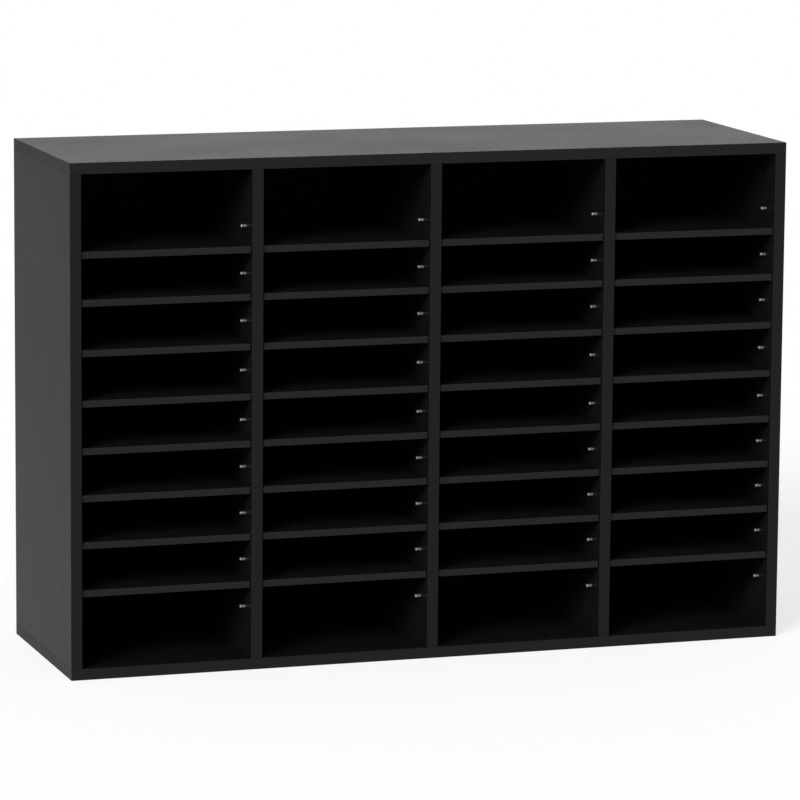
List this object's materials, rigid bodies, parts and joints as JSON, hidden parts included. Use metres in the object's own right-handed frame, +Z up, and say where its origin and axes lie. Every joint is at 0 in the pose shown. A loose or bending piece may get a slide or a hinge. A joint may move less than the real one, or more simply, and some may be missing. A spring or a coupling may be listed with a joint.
{
  "type": "literature organizer",
  "caption": "Open-front board cabinet divided into columns of flat compartments by loose shelves on steel pins, for sorting papers, folders and brochures.",
  "frame": {"origin": "middle of the underside of the bottom panel, on the surface that the cabinet stands on", "axes": "+X to the right along the width seen from the open front, +Y from the open front to the back, +Z up"},
  "size_m": [1, 0.305, 0.6835],
  "materials": {
    "black_laminate": "satin black melamine laminate on particle board, edges banded in the same black",
    "shelf_laminate": "satin black laminate on thin fibreboard, front edge banded",
    "black_hardboard": "thin hardboard, lacquered matt black",
    "pin_steel": "nickel-plated steel, turned",
    "cam_zinc": "die-cast zinc alloy, bare",
    "bolt_steel": "zinc-plated steel",
    "black_plastic": "moulded black plastic, fine matt texture",
    "beech": "fluted beech, bare"
  },
  "bodies": {
    "carcass": {"top_panel": "black_laminate", "bottom_panel": "black_laminate", "left_side_panel": "black_laminate", "right_side_panel": "black_laminate", "divider_1": "black_laminate", "divider_2": "black_laminate", "divider_3": "black_laminate", "back_panel": "black_hardboard", "side_support_pins": "pin_steel", "side_spare_pins": "pin_steel", "divider_support_pins": "pin_steel", "divider_spare_pins": "pin_steel", "cam_discs": "cam_zinc", "cam_bolts": "bolt_steel", "cam_caps": "black_plastic", "dowels": "beech"},
    "shelf_column_1_level_1": {"shelf_column_1_level_1": "shelf_laminate"},
    "shelf_column_1_level_2": {"shelf_column_1_level_2": "shelf_laminate"},
    "shelf_column_1_level_3": {"shelf_column_1_level_3": "shelf_laminate"},
    "shelf_column_1_level_4": {"shelf_column_1_level_4": "shelf_laminate"},
    "shelf_column_1_level_5": {"shelf_column_1_level_5": "shelf_laminate"},
    "shelf_column_1_level_6": {"shelf_column_1_level_6": "shelf_laminate"},
    "shelf_column_1_level_7": {"shelf_column_1_level_7": "shelf_laminate"},
    "shelf_column_1_level_8": {"shelf_column_1_level_8": "shelf_laminate"},
    "shelf_column_2_level_1": {"shelf_column_2_level_1": "shelf_laminate"},
    "shelf_column_2_level_2": {"shelf_column_2_level_2": "shelf_laminate"},
    "shelf_column_2_level_3": {"shelf_column_2_level_3": "shelf_laminate"},
    "shelf_column_2_level_4": {"shelf_column_2_level_4": "shelf_laminate"},
    "shelf_column_2_level_5": {"shelf_column_2_level_5": "shelf_laminate"},
    "shelf_column_2_level_6": {"shelf_column_2_level_6": "shelf_laminate"},
    "shelf_column_2_level_7": {"shelf_column_2_level_7": "shelf_laminate"},
    "shelf_column_2_level_8": {"shelf_column_2_level_8": "shelf_laminate"},
    "shelf_column_3_level_1": {"shelf_column_3_level_1": "shelf_laminate"},
    "shelf_column_3_level_2": {"shelf_column_3_level_2": "shelf_laminate"},
    "shelf_column_3_level_3": {"shelf_column_3_level_3": "shelf_laminate"},
    "shelf_column_3_level_4": {"shelf_column_3_level_4": "shelf_laminate"},
    "shelf_column_3_level_5": {"shelf_column_3_level_5": "shelf_laminate"},
    "shelf_column_3_level_6": {"shelf_column_3_level_6": "shelf_laminate"},
    "shelf_column_3_level_7": {"shelf_column_3_level_7": "shelf_laminate"},
    "shelf_column_3_level_8": {"shelf_column_3_level_8": "shelf_laminate"},
    "shelf_column_4_level_1": {"shelf_column_4_level_1": "shelf_laminate"},
    "shelf_column_4_level_2": {"shelf_column_4_level_2": "shelf_laminate"},
    "shelf_column_4_level_3": {"shelf_column_4_level_3": "shelf_laminate"},
    "shelf_column_4_level_4": {"shelf_column_4_level_4": "shelf_laminate"},
    "shelf_column_4_level_5": {"shelf_column_4_level_5": "shelf_laminate"},
    "shelf_column_4_level_6": {"shelf_column_4_level_6": "shelf_laminate"},
    "shelf_column_4_level_7": {"shelf_column_4_level_7": "shelf_laminate"},
    "shelf_column_4_level_8": {"shelf_column_4_level_8": "shelf_laminate"}
  },
  "joints": [
    {"name": "shelf_column_1_level_1_slide", "type": "slide", "parent": "carcass", "child": "shelf_column_1_level_1", "axis": [0, -1, 0], "range_m": [0, 0.11]},
    {"name": "shelf_column_1_level_2_slide", "type": "slide", "parent": "carcass", "child": "shelf_column_1_level_2", "axis": [0, -1, 0], "range_m": [0, 0.11]},
    {"name": "shelf_column_1_level_3_slide", "type": "slide", "parent": "carcass", "child": "shelf_column_1_level_3", "axis": [0, -1, 0], "range_m": [0, 0.11]},
    {"name": "shelf_column_1_level_4_slide", "type": "slide", "parent": "carcass", "child": "shelf_column_1_level_4", "axis": [0, -1, 0], "range_m": [0, 0.11]},
    {"name": "shelf_column_1_level_5_slide", "type": "slide", "parent": "carcass", "child": "shelf_column_1_level_5", "axis": [0, -1, 0], "range_m": [0, 0.11]},
    {"name": "shelf_column_1_level_6_slide", "type": "slide", "parent": "carcass", "child": "shelf_column_1_level_6", "axis": [0, -1, 0], "range_m": [0, 0.11]},
    {"name": "shelf_column_1_level_7_slide", "type": "slide", "parent": "carcass", "child": "shelf_column_1_level_7", "axis": [0, -1, 0], "range_m": [0, 0.11]},
    {"name": "shelf_column_1_level_8_slide", "type": "slide", "parent": "carcass", "child": "shelf_column_1_level_8", "axis": [0, -1, 0], "range_m": [0, 0.11]},
    {"name": "shelf_column_2_level_1_slide", "type": "slide", "parent": "carcass", "child": "shelf_column_2_level_1", "axis": [0, -1, 0], "range_m": [0, 0.11]},
    {"name": "shelf_column_2_level_2_slide", "type": "slide", "parent": "carcass", "child": "shelf_column_2_level_2", "axis": [0, -1, 0], "range_m": [0, 0.11]},
    {"name": "shelf_column_2_level_3_slide", "type": "slide", "parent": "carcass", "child": "shelf_column_2_level_3", "axis": [0, -1, 0], "range_m": [0, 0.11]},
    {"name": "shelf_column_2_level_4_slide", "type": "slide", "parent": "carcass", "child": "shelf_column_2_level_4", "axis": [0, -1, 0], "range_m": [0, 0.11]},
    {"name": "shelf_column_2_level_5_slide", "type": "slide", "parent": "carcass", "child": "shelf_column_2_level_5", "axis": [0, -1, 0], "range_m": [0, 0.11]},
    {"name": "shelf_column_2_level_6_slide", "type": "slide", "parent": "carcass", "child": "shelf_column_2_level_6", "axis": [0, -1, 0], "range_m": [0, 0.11]},
    {"name": "shelf_column_2_level_7_slide", "type": "slide", "parent": "carcass", "child": "shelf_column_2_level_7", "axis": [0, -1, 0], "range_m": [0, 0.11]},
    {"name": "shelf_column_2_level_8_slide", "type": "slide", "parent": "carcass", "child": "shelf_column_2_level_8", "axis": [0, -1, 0], "range_m": [0, 0.11]},
    {"name": "shelf_column_3_level_1_slide", "type": "slide", "parent": "carcass", "child": "shelf_column_3_level_1", "axis": [0, -1, 0], "range_m": [0, 0.11]},
    {"name": "shelf_column_3_level_2_slide", "type": "slide", "parent": "carcass", "child": "shelf_column_3_level_2", "axis": [0, -1, 0], "range_m": [0, 0.11]},
    {"name": "shelf_column_3_level_3_slide", "type": "slide", "parent": "carcass", "child": "shelf_column_3_level_3", "axis": [0, -1, 0], "range_m": [0, 0.11]},
    {"name": "shelf_column_3_level_4_slide", "type": "slide", "parent": "carcass", "child": "shelf_column_3_level_4", "axis": [0, -1, 0], "range_m": [0, 0.11]},
    {"name": "shelf_column_3_level_5_slide", "type": "slide", "parent": "carcass", "child": "shelf_column_3_level_5", "axis": [0, -1, 0], "range_m": [0, 0.11]},
    {"name": "shelf_column_3_level_6_slide", "type": "slide", "parent": "carcass", "child": "shelf_column_3_level_6", "axis": [0, -1, 0], "range_m": [0, 0.11]},
    {"name": "shelf_column_3_level_7_slide", "type": "slide", "parent": "carcass", "child": "shelf_column_3_level_7", "axis": [0, -1, 0], "range_m": [0, 0.11]},
    {"name": "shelf_column_3_level_8_slide", "type": "slide", "parent": "carcass", "child": "shelf_column_3_level_8", "axis": [0, -1, 0], "range_m": [0, 0.11]},
    {"name": "shelf_column_4_level_1_slide", "type": "slide", "parent": "carcass", "child": "shelf_column_4_level_1", "axis": [0, -1, 0], "range_m": [0, 0.11]},
    {"name": "shelf_column_4_level_2_slide", "type": "slide", "parent": "carcass", "child": "shelf_column_4_level_2", "axis": [0, -1, 0], "range_m": [0, 0.11]},
    {"name": "shelf_column_4_level_3_slide", "type": "slide", "parent": "carcass", "child": "shelf_column_4_level_3", "axis": [0, -1, 0], "range_m": [0, 0.11]},
    {"name": "shelf_column_4_level_4_slide", "type": "slide", "parent": "carcass", "child": "shelf_column_4_level_4", "axis": [0, -1, 0], "range_m": [0, 0.11]},
    {"name": "shelf_column_4_level_5_slide", "type": "slide", "parent": "carcass", "child": "shelf_column_4_level_5", "axis": [0, -1, 0], "range_m": [0, 0.11]},
    {"name": "shelf_column_4_level_6_slide", "type": "slide", "parent": "carcass", "child": "shelf_column_4_level_6", "axis": [0, -1, 0], "range_m": [0, 0.11]},
    {"name": "shelf_column_4_level_7_slide", "type": "slide", "parent": "carcass", "child": "shelf_column_4_level_7", "axis": [0, -1, 0], "range_m": [0, 0.11]},
    {"name": "shelf_column_4_level_8_slide", "type": "slide", "parent": "carcass", "child": "shelf_column_4_level_8", "axis": [0, -1, 0], "range_m": [0, 0.11]}
  ]
}
